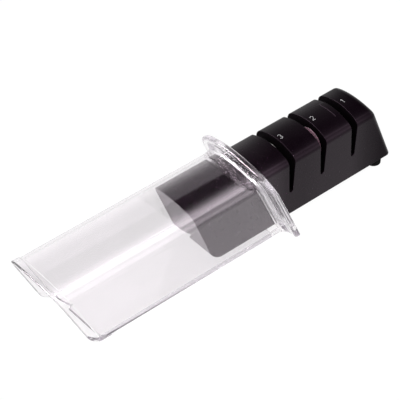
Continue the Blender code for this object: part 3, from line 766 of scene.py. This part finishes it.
def make_case():
    cz = CASE_TOP - CASE_ARCH_R
    cy = CASE_HALF_W - CASE_CREASE_R
    fz = cz + math.sqrt((CASE_ARCH_R - CASE_CREASE_R) ** 2 - cy ** 2)

    wall_y = CASE_HALF_W - CASE_WALL
    heights = [3.5, 4.6, 6.0, 8.0, 10.5, 13.5, 17.0, 20.5, 24.0, 27.5, 30.5, fz - 0.8, fz - 0.2]

    def section(w, z0, top, arch_r, crease_r, corner_r, n=C_CORNER):
        z_lo = z0 + corner_r
        z_hi = (top - arch_r) + math.sqrt((arch_r - crease_r) ** 2 - (w - crease_r) ** 2)
        u = [(min(max(z, z_lo + 0.02 * (i + 1)), z_hi - 0.02 * (len(heights) - i)) - z_lo) / (z_hi - z_lo)
             for i, z in enumerate(heights)]
        return half_outline(w, z0, top, arch_r, crease_r, corner_r, u, n, C_CREASE, C_ARCH)

    outer = section(CASE_HALF_W, 0.0, CASE_TOP, CASE_ARCH_R, CASE_CREASE_R, CASE_CORNER_R)
    mouth = section(BODY_HALF_W + FIT, BODY_Z0 - FIT, BODY_TOP + FIT, BODY_ARCH_R + FIT, BODY_CREASE_R + FIT, 0.5)
    cavity = section(wall_y, CASE_FLOOR, CASE_TOP - CASE_WALL, CASE_ARCH_R - CASE_WALL,
                     CASE_CREASE_R - CASE_WALL, 1.2)
    end = slanted_end(CASE_END_X, 0.0, CASE_END_SLOPE, CASE_END_R)

    def front(z):
        return FLANGE_X - FLANGE_SLOPE * z

    def back(z):
        return FLANGE_X - FLANGE_T - FLANGE_SLOPE * z

    def at(f, d):
        return lambda z: f(z) + d

    def over_crown(z):
        t = min(1.0, max(0.0, (z - 36.3) / 6.2))
        return t * t * (3 - 2 * t)

    def collar(z):
        return front(z) - COLLAR_SIDE_L - (COLLAR_TOP_L - COLLAR_SIDE_L) * over_crown(z)

    def ramp(z):
        return 0.6 + 0.9 * over_crown(z)

    def eased(t, w=0.2):
        if t < w:
            return t * t / (2 * w * (1 - w))
        if t > 1 - w:
            return 1 - (1 - t) * (1 - t) / (2 * w * (1 - w))
        return (t - w / 2) / (1 - w)

    R = []

    def put(outline, x_of):
        R.append(ring(outline, x_of))

    # open back end: rounded outer edge, raised band, soft step down to the wall
    r = 0.7
    put(grown(outer, CASE_END_BEAD - r - 0.1, 0.0), end)
    for inset, setback in edge_steps(r, 5):
        put(grown(outer, CASE_END_BEAD - inset, 0.0), at(end, setback))
    put(grown(outer, CASE_END_BEAD, 0.0), at(end, r + 0.1))
    put(grown(outer, CASE_END_BEAD, 0.0), at(end, CASE_END_BEAD_L - 0.1))
    for k in range(7):
        t = k / 6
        put(grown(outer, CASE_END_BEAD * (1 + math.cos(math.pi * t)) / 2, 0.0),
            at(end, CASE_END_BEAD_L + 0.8 * t))
    put(outer, at(end, CASE_END_BEAD_L + 0.95))
    for k in range(1, 5):
        put(outer, lambda z, t=k / 5: (end(z) + 6) * (1 - t) + (collar(z) - 4) * t)
    # low ramp up to the raised collar, longer over the crown than at the sides
    put(outer, lambda z: collar(z) - ramp(z) - 0.2)
    for k in range(11):
        t = k / 10
        put(grown(outer, COLLAR_RISE * eased(t), 0.0), lambda z, t=t: collar(z) - ramp(z) * (1 - t) + 0.3 * t)
    # hollow rounding up to the guard, guard with rounded rim
    put(grown(outer, COLLAR_RISE, 0.0), at(back, -COVE_R - 0.05))
    for k in range(1, 13):
        a = math.pi / 2 * k / 12
        put(grown(outer, COLLAR_RISE + COVE_H * (1 - math.cos(a)), 0.0), at(back, -COVE_R * (1 - math.sin(a))))
    put(grown(outer, COLLAR_RISE + COVE_H + 0.12, 0.0), back)
    put(grown(outer, FLANGE_OUT - FLANGE_EDGE_R - 0.1, 0.0), back)
    for inset, setback in edge_steps(FLANGE_EDGE_R, 7):
        put(grown(outer, FLANGE_OUT - inset, 0.0), at(back, setback))
    put(grown(outer, FLANGE_OUT, 0.0), at(back, FLANGE_EDGE_R + 0.08))
    put(grown(outer, FLANGE_OUT, 0.0), at(front, -FLANGE_EDGE_R - 0.08))
    for inset, setback in reversed(edge_steps(FLANGE_EDGE_R, 7)):
        put(grown(outer, FLANGE_OUT - inset, 0.0), at(front, -setback))
    put(grown(outer, FLANGE_OUT - FLANGE_EDGE_R - 0.1, 0.0), front)
    # mouth with a rounded lead-in, guiding land, step out to the plain wall
    put(grown(mouth, 0.7), front)
    for inset, setback in edge_steps(0.6, 4):
        put(grown(mouth, inset), at(front, -setback))
    put(mouth, at(front, -0.75))
    put(mouth, at(front, -LAND_L + 0.25))
    for k in range(1, 4):                       # eased edge of the land
        a = math.pi / 2 * k / 3
        put(grown(mouth, 0.25 * (1 - math.cos(a))), at(front, -LAND_L + 0.25 - 0.25 * math.sin(a)))
    put(cavity, at(front, -LAND_L - 0.5))
    put(cavity, at(front, -LAND_L - 0.7))

    def inner_end(z):
        t = min(1.0, max(0.0, (z - CASE_FLOOR) / 9.0))
        return end(max(z, CASE_FLOOR)) + (CASE_FLOOR_END_X - end(CASE_FLOOR)) * (1 - t * t * (3 - 2 * t))

    for k in range(1, 6):
        put(cavity, lambda z, t=k / 6: (front(z) - LAND_L - 0.7) * (1 - t) + (inner_end(z) + 1.4) * t)
    def lip(inset):                             # rounded over the crown, nearly square at the floor
        return [(max(0.0, y + q * ny), z + q * nz, ny, nz)
                for y, z, ny, nz in cavity for q in [inset * (0.2 + 0.8 * over_crown(z + 2.0))]]

    put(cavity, at(inner_end, 0.85))
    for inset, setback in reversed(edge_steps(0.7, 6)):
        put(lip(inset), lambda z, b=setback: inner_end(z) + b * (0.2 + 0.8 * over_crown(z + 2.0)))
    case = loft("clear_case_fine", R, endless=True)
    clean(case)
    boolean(case, box("notch", (FLANGE_X - NOTCH_L, -NOTCH_HALF_W, -3.0),
                      (FLANGE_X + 6.0, NOTCH_HALF_W, NOTCH_TOP)), 'DIFFERENCE')
    clean(case)
    shade(case, CLEAR, 34.0)
    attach(case, "case")
    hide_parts("clear_case")
    return case


make_shell()
make_plate()
make_feet()
make_stages()
make_numerals()
make_case()


# ------------------------------------------------------------ floor, light
def make_floor():
    s, n = 3.0, 24
    v = [(-s + 2 * s * i / n, -s + 2 * s * j / n, 0.0) for j in range(n + 1) for i in range(n + 1)]
    f = [(j * (n + 1) + i, j * (n + 1) + i + 1, (j + 1) * (n + 1) + i + 1, (j + 1) * (n + 1) + i)
         for j in range(n) for i in range(n)]
    me = bpy.data.meshes.new("floor")
    me.from_pydata([(x, y, z - 0.00005) for x, y, z in v], [], f)
    ob = bpy.data.objects.new("floor", me)
    bpy.context.scene.collection.objects.link(ob)
    m = Mat("floor_white", Roughness=0.9, Specular_IOR_Level=0.0)
    m.to("Base Color", m.ramp(m.noise(60.0, 4.0), [(0.3, (0.058, 0.058, 0.058)), (0.7, (0.064, 0.064, 0.064))]))
    m.p.inputs["Emission Color"].default_value = (1.0, 1.0, 1.0, 1.0)
    m.p.inputs["Emission Strength"].default_value = 0.95
    me.materials.append(m.m)


def make_world():
    """white surround low down, dark ceiling, a long soft light above the front of the tool"""
    w = bpy.data.worlds.new("studio")
    bpy.context.scene.world = w
    w.use_nodes = True
    nt = w.node_tree
    nodes, links = nt.nodes, nt.links
    bg = nodes["Background"]
    tc = nodes.new("ShaderNodeTexCoord")
    xyz = nodes.new("ShaderNodeSeparateXYZ")
    links.new(tc.outputs["Generated"], xyz.inputs["Vector"])

    def math_node(op, a, b=None):
        n = nodes.new("ShaderNodeMath")
        n.operation = op
        for i, q in enumerate((a, b)):
            if q is None:
                continue
            if isinstance(q, (int, float)):
                n.inputs[i].default_value = q
            else:
                links.new(q, n.inputs[i])
        return n.outputs["Value"]

    def smooth(value, a, b, lo, hi):
        n = nodes.new("ShaderNodeMapRange")
        n.interpolation_type = 'SMOOTHSTEP'
        for k, q in (("From Min", a), ("From Max", b), ("To Min", lo), ("To Max", hi)):
            n.inputs[k].default_value = q
        links.new(value, n.inputs["Value"])
        return n.outputs["Result"]

    def lobe(value, centre, width):
        d = math_node('DIVIDE', math_node('SUBTRACT', value, centre), width)
        return math_node('EXPONENT', math_node('MULTIPLY', math_node('MULTIPLY', d, d), -1.0))

    x, y, z = xyz.outputs["X"], xyz.outputs["Y"], xyz.outputs["Z"]
    low = smooth(z, 0.15, 0.66, 0.62, 0.0)
    surround = math_node('ADD', smooth(z, 0.785, 0.825, 0.64, 0.06), low)
    psi = math_node('ARCTAN2', y, z)
    along = lobe(x, 0.45, 0.75)
    strip = math_node('MULTIPLY', lobe(psi, math.radians(-25.0), math.radians(12.5)), 3.9)
    fill = math_node('MULTIPLY', lobe(psi, math.radians(-66.0), math.radians(28.0)), 1.6)
    soft = math_node('MULTIPLY', math_node('ADD', strip, fill), along)
    total = math_node('ADD', surround, math_node('MULTIPLY', soft, smooth(z, -0.02, 0.06, 0.0, 1.0)))
    links.new(total, bg.inputs["Strength"])
    bg.inputs["Color"].default_value = (1.0, 1.0, 1.0, 1.0)


def make_softbox():
    """large soft light above the handle end; it shapes the gloss and leaves the matt surfaces alone"""
    lamp = bpy.data.lights.new("softbox", 'AREA')
    lamp.shape = 'RECTANGLE'
    lamp.size, lamp.size_y = 2.1, 2.1
    lamp.energy = 16.0 * math.pi * lamp.size * lamp.size_y
    ob = bpy.data.objects.new("softbox", lamp)
    bpy.context.scene.collection.objects.link(ob)
    aim = Vector((-0.68, 0.22, 0.70)).normalized()
    ob.location = Vector((0.02, 0.0, 0.04)) + aim * 1.1
    ob.rotation_euler = aim.to_track_quat('Z', 'Y').to_euler()
    ob.visible_diffuse = False
    ob.visible_camera = False
    ob.visible_transmission = False


def make_camera():
    cam = bpy.data.cameras.new("camera")
    ob = bpy.data.objects.new("camera", cam)
    bpy.context.scene.collection.objects.link(ob)
    d = Vector((0.478823, 0.560630, -0.675590))
    u = Vector((0.438761, 0.513723, 0.737277))
    r = Vector((0.760406, -0.649448, 0.0))
    m = Matrix.Identity(4)
    for i in range(3):
        m[i][0], m[i][1], m[i][2] = r[i], u[i], -d[i]
    m.translation = Vector((-0.476352 + X_MID * MM, -0.479557, 0.607911))
    ob.matrix_world = m
    cam.sensor_fit = 'HORIZONTAL'
    cam.sensor_width = 36.0
    cam.lens = 18.0 * 1811.054 / 200.0
    cam.clip_start, cam.clip_end = 0.01, 20.0
    bpy.context.scene.camera = ob


make_floor()
make_world()
make_softbox()
make_camera()
cycles = bpy.context.scene.cycles
cycles.max_bounces, cycles.glossy_bounces, cycles.transmission_bounces = 32, 24, 32
cycles.transparent_max_bounces, cycles.diffuse_bounces = 32, 4
view = bpy.context.scene.view_settings
view.view_transform = 'Standard'
view.look = 'None'
